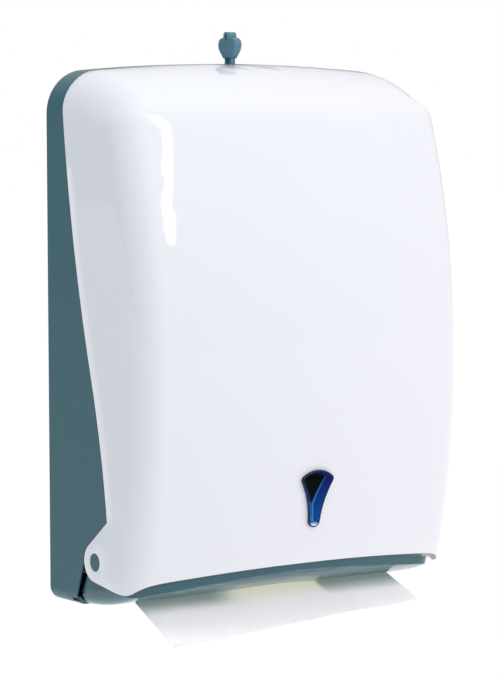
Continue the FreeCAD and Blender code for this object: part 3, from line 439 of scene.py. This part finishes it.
def hanging_towel():
    """The pulled-out part of one towel, pressed with stripes, bent at the lip and curled at its end."""
    columns = round(TOWEL_WIDTH / EMBOSS_PITCH * STRIPE_STEPS)
    grid = []
    for i in range(columns + 1):
        share = i / columns
        x = (share - 0.5) * TOWEL_WIDTH
        column = []
        for k, point in enumerate(sheet_line(share)):
            free = max(0.0, k - UPPER_STEPS - BEND_STEPS) / FREE_STEPS
            sway = noise.noise(Vector((x / SWAY_WIDE, k / SWAY_ROWS, SWAY_SEED))) * SWAY * free
            curl = math.sin(share * math.pi) * CURL * free ** 2
            emboss = math.sin(x / EMBOSS_PITCH * math.tau) * EMBOSS_DEEP
            if k >= EMBOSS_ROWS:
                emboss *= EMBOSS_FAINT
            rise = sway + curl + emboss * free * EMBOSS_LIFT
            column.append(spot(x, point.x - emboss * (1 - free), point.y + rise))
        grid.append(column)
    bm = bmesh.new()
    thin_sheet(bm, grid, TOWEL_THICK * MM)
    made = piece("hanging_towel", "casing", "towel", finished("hanging_towel", bm), "pulled_towel")
    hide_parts("towel_sheet")
    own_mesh(made)


# ---------------------------------------------------------------- stack of towels
TOWELS = 11
FOLDS = 3                    # panels of a folded towel
PANEL_STEPS, FOLD_STEPS, ACROSS_STEPS = 12, 6, 24
STACK_LOW, STACK_HIGH = (c.z / MM + WALL_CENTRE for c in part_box("towel_stack"))
STACK_FRONT, STACK_REAR = (c.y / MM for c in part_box("towel_stack"))
STACK_UNDER, STACK_OVER = 0.5, 0.7       # height left free in the stack's box
STACK_BEFORE, STACK_BEHIND = 2.2, 2.0    # depth left free in it for the folds
STACK_DRAWN = 1.5            # how much narrower a folded towel lies
SLIP = 1.4                   # how far a towel's front lies out of line at most
SLIP_REAR, SLIP_SIDE = 0.5, 0.4          # shares of it at the rear and sideways
SLIP_STEP, SLIP_SEED = 1.7, 3.1          # its noise's step from towel to towel, and its seed
WAVE = 0.12                  # unevenness of a panel
WAVE_WIDE, WAVE_DEEP = 60, 25            # its size across and in depth


def folded_line(low, pitch, start, end):
    """Side outline of one towel folded to and fro between start and end."""
    fold = pitch / 2
    points = []
    for layer in range(FOLDS):
        z = low + layer * pitch
        a, b = (start, end) if layer % 2 == 0 else (end, start)
        way = math.copysign(1, b - a)
        points += [Vector((a + (b - a) * i / PANEL_STEPS, z)) for i in range(PANEL_STEPS + 1)]
        if layer < FOLDS - 1:
            points += [Vector((b + way * fold * math.sin(t), z + fold - fold * math.cos(t)))
                       for t in (math.pi * i / FOLD_STEPS for i in range(1, FOLD_STEPS))]
    return points


def stacked_towels():
    """Towels folded in three on the tray, each a little out of line."""
    pitch = (STACK_HIGH - STACK_LOW - STACK_UNDER - STACK_OVER) / (TOWELS * FOLDS)
    first = None
    for n in range(TOWELS):
        low = STACK_LOW + STACK_UNDER + n * pitch * FOLDS
        slip = noise.noise(Vector((n * SLIP_STEP, SLIP_SEED, 0))) * SLIP
        start, end = STACK_REAR - STACK_BEHIND + slip * SLIP_REAR, STACK_FRONT + STACK_BEFORE + slip
        line = folded_line(low, pitch, start, end)
        grid = []
        for i in range(ACROSS_STEPS + 1):
            x = (i / ACROSS_STEPS - 0.5) * (TOWEL_WIDTH - STACK_DRAWN) + slip * SLIP_SIDE
            waves = [noise.noise(Vector((x / WAVE_WIDE, p.x / WAVE_DEEP, n))) * WAVE for p in line]
            grid.append([spot(x, p.x, p.y + wave) for p, wave in zip(line, waves)])
        bm = bmesh.new()
        thin_sheet(bm, grid, TOWEL_THICK * MM)
        made = piece(f"folded_towel_{n + 1}", "casing", "towel", finished("folded_towel", bm))
        first = first or made
    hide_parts("towel_stack")


# ---------------------------------------------------------------- window
# Its outline is given across and up from its middle.
WINDOW_Z = 78.0
WINDOW_HALF = 21.5           # half of its height
WINDOW_TOP = (14.7, 15.0)    # upper corner
WINDOW_WAIST = (6.8, -4.5)
WINDOW_TIP_R = 4.9
CROWN_STEPS, FLANK_STEPS, TIP_STEPS = 16, 40, 12
WINDOW_CORNER = 2.0          # reach of the upper corners' rounding
WINDOW_ROUNDING = 3          # passes of it
WINDOW_DISH = 3.9            # width of the sloping inside at the top corners
WINDOW_SPREAD = 0.12         # how much wider it gets for each mm down
WINDOW_DEEP = -4.0           # height of the dish's floor
WINDOW_RIM = 1.45            # height of the rim's inner edge
WINDOW_LINE = 0.84           # share of the slope down to the painted highlight line at its foot
LINE_LEFT = -0.4             # the line runs to the right from here
WINDOW_GLINT = -17.6         # height under which the dish is lit from above
SEAT = 0.4                   # how far the lens goes into the cover's curve
# The rim from its foot to its inner edge, as the inset from the outline and the height over the cover.
RIM_SECTION = ((0.001, -SEAT), (0.001, 1.1), (0.12, 1.55), (0.45, 1.8), (0.8, 1.7), (1.0, WINDOW_RIM))
LEAST_LEAN = 0.05            # a way inwards that leans less than this never meets the middle line
WELD, SLIVER = 0.02, 0.01    # gap that is closed, and edge that is dissolved
RIM, BEVEL, LINE, CORE, GLINT = range(5)         # the lens's material indices
FRONT_R = 594.0              # of the cover's front, seen from the side
FRONT_CENTRE = (452.0, 172.0)    # Y and height


def arc_points(a, b, c, count):
    """Points from a to c on the arc through b, in the window's plane."""
    (ax, ay), (bx, by), (cx, cy) = a, b, c
    aa, bb, cc = ax ** 2 + ay ** 2, bx ** 2 + by ** 2, cx ** 2 + cy ** 2
    d = 2 * (ax * (by - cy) + bx * (cy - ay) + cx * (ay - by))
    ux = (aa * (by - cy) + bb * (cy - ay) + cc * (ay - by)) / d
    uy = (aa * (cx - bx) + bb * (ax - cx) + cc * (bx - ax)) / d
    radius = math.hypot(ax - ux, ay - uy)
    start, middle, end = (math.atan2(y - uy, x - ux) for x, y in (a, b, c))
    sweep = (end - start) % math.tau
    if (middle - start) % math.tau > sweep:
        sweep -= math.tau
    angles = [start + sweep * i / count for i in range(count + 1)]
    return [(ux + radius * math.cos(t), uy + radius * math.sin(t)) for t in angles]


def window_half():
    """Right half of the fan-shaped outline, from the middle of the crown down to the tip."""
    crown = arc_points((-WINDOW_TOP[0], WINDOW_TOP[1]), (0, WINDOW_HALF), WINDOW_TOP, 2 * CROWN_STEPS)
    foot = (WINDOW_TIP_R, WINDOW_TIP_R - WINDOW_HALF)
    flank = arc_points(WINDOW_TOP, WINDOW_WAIST, foot, FLANK_STEPS)
    turn = [(WINDOW_TIP_R * math.cos(a), foot[1] - WINDOW_TIP_R * math.sin(a))
            for a in (math.pi / 2 * i / TIP_STEPS for i in range(1, TIP_STEPS + 1))]
    outline = [Vector(p) for p in crown[CROWN_STEPS:] + flank[1:] + turn]
    corner = Vector(WINDOW_TOP)
    for _ in range(WINDOW_ROUNDING):
        outline = [(outline[i - 1] + outline[i + 1]) / 2
                   if 0 < i < len(outline) - 1 and (p - corner).length < WINDOW_CORNER else p
                   for i, p in enumerate(outline)]
    return [tuple(p) for p in outline]


def inward(outline, offset, spread=0.0):
    """Each point of the half outline, its way inwards as far as the middle line, and the share that this is
    of the whole way."""
    moved = []
    last = len(outline) - 1
    for i, (x, z) in enumerate(outline):
        before, after = outline[max(i - 1, 0)], outline[min(i + 1, last)]
        along = Vector((after[0] - before[0], after[1] - before[1])).normalized()
        across = Vector((along.y, -along.x))
        if i in (0, last):
            across = Vector((0, -1 if i == 0 else 1))
        wanted = offset + spread * max(0.0, WINDOW_TOP[1] - z)
        room = x / -across.x if across.x < -LEAST_LEAN else wanted
        if i == last:
            room = WINDOW_TIP_R
        moved.append((x, z, across * min(wanted, room), min(1.0, room / wanted)))
    return moved


def lens_sections(outline):
    """Right halves of the lens's rings, from its seat over the rim to the foot of the dish."""
    sections = [[(x + way.x, -rise, z + way.y) for x, z, way, _ in inward(outline, inset)]
                for inset, rise in RIM_SECTION]
    drop = WINDOW_RIM - WINDOW_DEEP
    for share in (WINDOW_LINE, 1.0):
        sections.append([(x + way.x * share, drop * share * room - WINDOW_RIM, z + way.y * share)
                         for x, z, way, room in inward(outline, WINDOW_DISH, WINDOW_SPREAD)])
    return sections


def lens_finish(ring, middle):
    """Material index of a face whose middle is given in the window's own place, in metres."""
    if ring < len(RIM_SECTION) - 1:
        return RIM
    if middle.z < WINDOW_GLINT * MM:
        return GLINT
    # This ring's faces on the right and below the upper corners get the painted highlight.
    on_highlight_line = ring == len(RIM_SECTION) and middle.x > LINE_LEFT * MM and middle.z < WINDOW_TOP[1] * MM
    return LINE if on_highlight_line else BEVEL


def level_lens():
    """Fan-shaped lens, dished inside a thin raised rim."""
    lean = math.asin((FRONT_CENTRE[1] - WINDOW_Z) / FRONT_R)
    place = Matrix.Translation(spot(0, FRONT_CENTRE[0] - FRONT_R * math.cos(lean), WINDOW_Z))
    place = place @ Matrix.Rotation(lean, 4, "X")
    outline = window_half()
    bm = bmesh.new()
    rows = []
    for right in lens_sections(outline):
        left = [(-x, y, z) for x, y, z in reversed(right[1:-1])]
        rows.append([bm.verts.new(place @ (Vector(p) * MM)) for p in right + left])
    for ring, (near, far) in enumerate(zip(rows, rows[1:])):
        for face in strip_faces(bm, [near, far], True):
            face.material_index = lens_finish(ring, place.inverted() @ face.calc_center_median())
    count = len(outline)
    core = rows[-1]
    mirror = [core[0], *reversed(core[count:]), core[count - 1]]
    for i in range(1, count - 1):
        corners = (core[i - 1], core[i], mirror[i], mirror[i - 1]) if i > 1 else (core[0], core[1], mirror[1])
        bm.faces.new(corners).material_index = CORE
    bmesh.ops.remove_doubles(bm, verts=bm.verts, dist=WELD * MM)
    bmesh.ops.dissolve_degenerate(bm, edges=bm.edges, dist=SLIVER * MM)
    made = piece("level_lens", "cover", "window", finished("level_lens", bm, smooth=25.0),
                 "window", "window_bevel", "window_highlight_line", "window_shaded_core", "window_glint")
    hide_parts("level_window")


# ---------------------------------------------------------------- screws
SCREW_R = 1.75
SCREW_CORE_R = 1.35
SCREW_TIP_R = 0.25
SCREW_PITCH = 1.3
SCREW_STEPS = 24             # points round a screw
SCREW_RING = 6               # steps of the thread from one ring of points to the next
SCREW_HEAD = ((3.4, 0.0), (3.4, 0.7), (3.2, 1.2), (2.6, 1.65), (2.2, 1.98))   # radius and height up its side
HEAD_ROOM = 0.02             # free height over the head in the CAD screw's box
THREAD_START = 0.4           # depth of the thread's first ring
THREAD_WIDE = 0.5            # share of the pitch that the ridge takes
THREAD_END = 2.0             # length left for the point
CROSS_HALF, CROSS_ARM, CROSS_DEEP = 0.399, 1.7, 1.2     # an arm's half width and its length, and the depth
CROSS_FLOOR = 0.6            # share of its size that the recess keeps at its floor
CROSS_TIP, CROSS_FLANK = 0.2, 0.3    # angles from an arm's middle, to its end's corner and to its flank's start


def cross_outline(angles):
    """Outline of the cross recess, one point for each angle."""
    quarter = math.pi / 2
    points = []
    for a in angles:
        off_arm = min(a % quarter, quarter - a % quarter)
        reach = CROSS_HALF / math.sin(max(off_arm, CROSS_FLANK))
        if off_arm < CROSS_TIP:
            reach = CROSS_ARM
        points.append((math.cos(a) * reach, math.sin(a) * reach))
    return points


def screw_parts(bm, at, way, length):
    """Pan-head screw: threaded shank along way from at, and a head with a cross recess behind at."""
    turn = Vector(way).to_track_quat("-Z", "Y").to_matrix().to_4x4()
    place = Matrix.Translation(spot(*at)) @ turn

    def put(x, y, z):
        return bm.verts.new(place @ (Vector((x, y, z)) * MM))

    def ring(radius, z):
        return [put(radius * math.cos(a), radius * math.sin(a), z) for a in angles]

    angles = [math.tau * i / SCREW_STEPS for i in range(SCREW_STEPS)]
    cross = cross_outline(angles)
    rows = [ring(r, z) for r, z in SCREW_HEAD]
    top = SCREW_HEAD[-1][1]
    rows.append([put(x, y, top) for x, y in cross])
    rows.append([put(x * CROSS_FLOOR, y * CROSS_FLOOR, top - CROSS_DEEP) for x, y in cross])
    strip_faces(bm, rows, True)
    bm.faces.new(rows[-1])
    turns = int((length - THREAD_END) / SCREW_PITCH * SCREW_STEPS)
    shank = [rows[0]]
    for k in range(0, turns + 1, SCREW_RING):
        z = -THREAD_START - k * SCREW_PITCH / SCREW_STEPS
        thread = []
        for i, a in enumerate(angles):
            phase = (k / SCREW_STEPS - i / SCREW_STEPS) % 1.0
            radius = SCREW_CORE_R + (SCREW_R - SCREW_CORE_R) * max(0.0, 1 - abs(phase - 0.5) / (THREAD_WIDE / 2))
            thread.append(put(radius * math.cos(a), radius * math.sin(a), z))
        shank.append(thread)
    shank.append(ring(SCREW_TIP_R, -length))
    strip_faces(bm, shank, True)
    bm.faces.new(shank[-1])


def screws(name, body, places, way, length, node):
    """One piece of like screws that stands for a CAD node."""
    bm = bmesh.new()
    for at in places:
        screw_parts(bm, at, way, length)
    made = piece(name, body, "steel", finished(name, bm, smooth=30.0))
    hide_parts(node)


# Node, body, count, way in, and length under the head.
SCREW_SETS = (
    ("throat_screws", "casing", 4, (0, 0, -1), 9.0),
    ("tray_screws", "casing", 2, (0, 1, 0), 6.0),
    ("lock_screws", "casing", 2, (0, 0, 1), 5.5),
    ("catch_screws", "cover", 2, (0, 0, 1), 7.5),
    ("cam_screw", "lock_rotor", 1, (0, 0, 1), 10.1),
)


def all_screws():
    """Each set in a row from left to right, in the box of its CAD screws."""
    head = SCREW_HEAD[-1][1] + HEAD_ROOM
    for node, body, count, way, length in SCREW_SETS:
        a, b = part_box(node)
        middle = (Vector(a) + Vector(b)) / 2 / MM + Vector((0, 0, WALL_CENTRE))
        seat = middle - Vector(way) * ((length + head) / 2 - head)
        reach = (b[0] - a[0]) / MM / 2 - SCREW_HEAD[0][0]
        places = [seat]
        if count > 1:
            places = [seat + Vector((reach * (2 * i / (count - 1) - 1), 0, 0)) for i in range(count)]
        screws(f"{node}_detailed", body, places, way, length, node)


# ---------------------------------------------------------------- camera
CAMERA_AT = (-1.2349, -1.8204, 0.1666)   # in metres
YAW, PITCH, ROLL = math.radians(34.93), math.radians(4.70), math.radians(-0.16)
LENS, SENSOR = 154.63, 36.0
CLIP = (0.05, 100)           # in metres


def turned(place, right, up, back):
    """Matrix of an object at place with these three axes."""
    return Matrix.Translation(place) @ Matrix((right, up, back)).transposed().to_4x4()


def camera():
    """The photo's view."""
    data = bpy.data.cameras.new("camera")
    data.lens, data.sensor_width = LENS, SENSOR
    data.clip_start, data.clip_end = CLIP
    made = bpy.data.objects.new("camera", data)
    bpy.context.scene.collection.objects.link(made)
    ahead = Vector((math.sin(YAW) * math.cos(PITCH), math.cos(YAW) * math.cos(PITCH), -math.sin(PITCH)))
    right = Vector((math.cos(YAW), -math.sin(YAW), 0))
    up = right.cross(ahead)
    tilted = right * math.cos(ROLL) + up * math.sin(ROLL)
    risen = up * math.cos(ROLL) - right * math.sin(ROLL)
    made.matrix_world = turned(CAMERA_AT, tilted, risen, -ahead)
    bpy.context.scene.camera = made


# ---------------------------------------------------------------- studio
# All of it is in metres.
FLOOR_REACH, FLOOR_Z = 40.0, -1.6
FLOOR_TINTS = (0.02, 0.02, 0.02), (0.03, 0.03, 0.03)
FLOOR_CLOUDS = 0.7
FLOOR_FADE = (-6.7, -1.07)   # X where the floor's light is lowest, and where it is full
FLOOR_DARK = 0.62
# Slopes of the room's light: a direction, the cosines to it between which the light changes, and the light at
# those two.
ROOM_ABOVE = (0.3, -0.4, 0.85), (-0.6, 0.9), (0.6, 0.92)
ROOM_LEFT = (-1.0, 0.1, 0.0), (-0.05, 0.85), (1.0, 0.54)
ROOM_BEHIND = (0.57, 0.82, -0.06), (0.93, 0.995), (1.0, 0.4)
LEFT_TINT = (0.72, 0.9, 1.0)
SHINE = (-0.117, -0.11, 0.11)    # where the two strips are mirrored in the cover, as one wedge
MIDDLE, UPRIGHT = (0, 0, 0), (0, 0, 1)
# Name, place, aim, width and height, watts, the way its height runs, and whether gloss mirrors it.
LAMPS = (
    ("strip_left", (0.475, -2.0, 1.27), SHINE, (0.04, 1.48), 1.2, (0.25, 0, 1.4), True),
    ("strip_right", (0.515, -2.0, 1.33), SHINE, (0.045, 1.46), 1.3, (0.36, 0, 1.4), True),
    ("key_light", (1.5, -1.7, 0.2), MIDDLE, (1.4, 1.4), 7, UPRIGHT, False),
    ("overhead", (-1.05, -0.35, 2.2), MIDDLE, (1.6, 1.6), 23, UPRIGHT, False),
    ("from_below", (0.25, 0.5, -0.9), (0, -0.09, -0.2), (0.45, 0.45), 10, (0, 1, 0), False),
)


def seen(tree):
    """1 where the camera looks straight at it, 0 for the light that it sends out."""
    return tree.nodes.new("ShaderNodeLightPath").outputs["Is Camera Ray"]


def seen_or(tree, lighting):
    """White where the camera looks straight at it, and the given strength for the light it sends out."""
    choice = tree.nodes.new("ShaderNodeMix")
    choice.inputs["B"].default_value = 1.0
    tree.links.new(seen(tree), choice.inputs["Factor"])
    tree.links.new(lighting, choice.inputs["A"])
    return choice.outputs["Result"]


def floor():
    """Pale floor far under the cabinet, white so that it has no horizon, which lights less far to the left."""
    mesh = bpy.data.meshes.new("floor")
    corners = [(x * FLOOR_REACH, y * FLOOR_REACH, FLOOR_Z) for x, y in ((-1, -1), (1, -1), (1, 1), (-1, 1))]
    mesh.from_pydata(corners, [], [(0, 1, 2, 3)])
    shader = Shader("floor", Roughness=1.0, Specular_IOR_Level=0.0)
    shader.principled.inputs["Emission Color"].default_value = (*WHITE, 1)
    shader.paint(shader.noise(FLOOR_CLOUDS), *FLOOR_TINTS)
    fade = ramp(shader.tree, shader.along("X", *FLOOR_FADE), (0.0, 1.0), (FLOOR_DARK, 1.0))
    shader.link(seen_or(shader.tree, fade), shader.principled.inputs["Emission Strength"])
    mesh.materials.append(shader.material)
    made = bpy.data.objects.new("floor", mesh)
    bpy.context.scene.collection.objects.link(made)


def surroundings():
    """White room, which lights less from below, from behind and from the left, where it is also bluer."""
    world = bpy.data.worlds.new("studio")
    world.use_nodes = True
    tree = world.node_tree
    background = tree.nodes["Background"]
    place = tree.nodes.new("ShaderNodeTexCoord")

    def lean(direction, cosines, light):
        """Runs between the two lights as the way looked turns towards direction."""
        slope = tree.nodes.new("ShaderNodeVectorMath")
        slope.operation = "DOT_PRODUCT"
        slope.inputs[1].default_value = Vector(direction).normalized()
        tree.links.new(place.outputs["Generated"], slope.inputs[0])
        return ramp(tree, slope.outputs["Value"], cosines, light)

    light = product(tree, product(tree, lean(*ROOM_ABOVE), lean(*ROOM_LEFT)), lean(*ROOM_BEHIND))
    tint = blend(tree, lean(*ROOM_LEFT[:2], (0.0, 1.0)), WHITE, LEFT_TINT)
    tree.links.new(seen_or(tree, light), background.inputs["Strength"])
    tree.links.new(blend(tree, seen(tree), tint, WHITE), background.inputs["Color"])
    bpy.context.scene.world = world
    bpy.context.scene.view_settings.view_transform = "Standard"


def softbox(name, place, aim, size, watts, along, mirrored):
    """Rectangular lamp at place that shines at aim, its height along the given direction."""
    data = bpy.data.lights.new(name, "AREA")
    data.shape, data.energy = "RECTANGLE", watts
    data.size, data.size_y = size
    made = bpy.data.objects.new(name, data)
    back = (Vector(place) - Vector(aim)).normalized()
    across = Vector(along).cross(back).normalized()
    made.matrix_world = turned(place, across, back.cross(across), back)
    made.visible_glossy = mirrored
    bpy.context.scene.collection.objects.link(made)


def studio():
    """Plain pale studio with soft light."""
    floor()
    surroundings()
    for lamp in LAMPS:
        softbox(*lamp)


dress()
hanging_towel()
stacked_towels()
level_lens()
all_screws()
camera()
studio()
